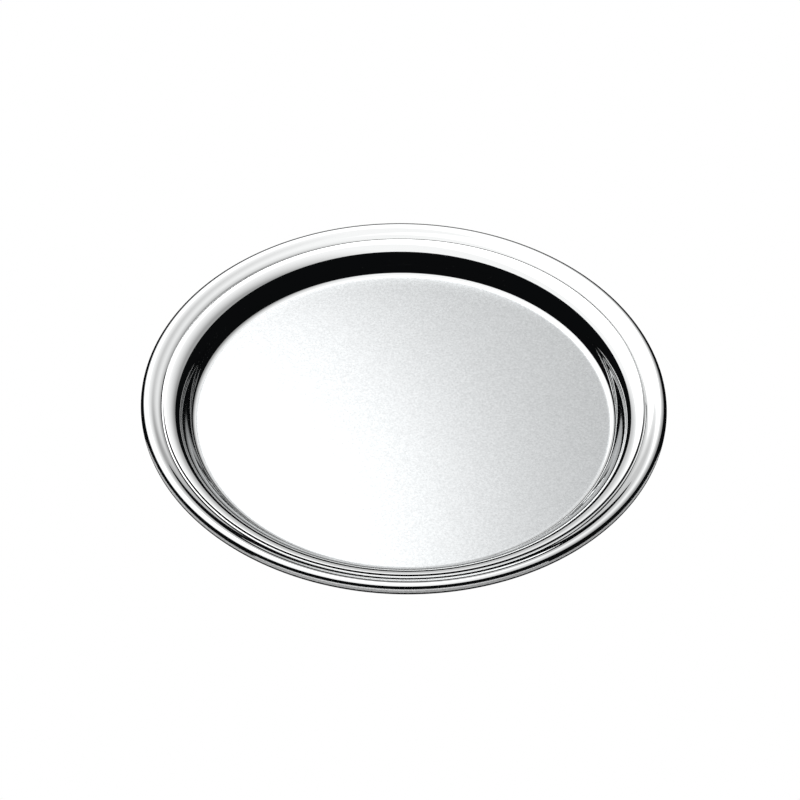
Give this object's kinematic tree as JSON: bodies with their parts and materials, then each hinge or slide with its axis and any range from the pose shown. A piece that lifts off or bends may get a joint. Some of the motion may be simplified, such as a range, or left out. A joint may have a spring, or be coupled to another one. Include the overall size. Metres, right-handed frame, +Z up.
{
  "type": "serving tray",
  "caption": "Round serving tray with a flat floor, a rounded wall and a wide stepped rim with a rolled edge, for carrying and laying out food and drink.",
  "frame": {"origin": "middle of the flat underside of the tray's floor, where it rests", "axes": "+Z up along the tray's axis, from the underside through the floor; X and Y lie in the resting plane"},
  "size_m": [0.4, 0.4, 0.0245],
  "materials": {
    "pan_steel": "polished",
    "border_steel": "polished",
    "wire_steel": "satin"
  },
  "bodies": {
    "root": {"tray_pan": "pan_steel", "border_ring": "border_steel", "rim_wire": "wire_steel"}
  },
  "joints": []
}
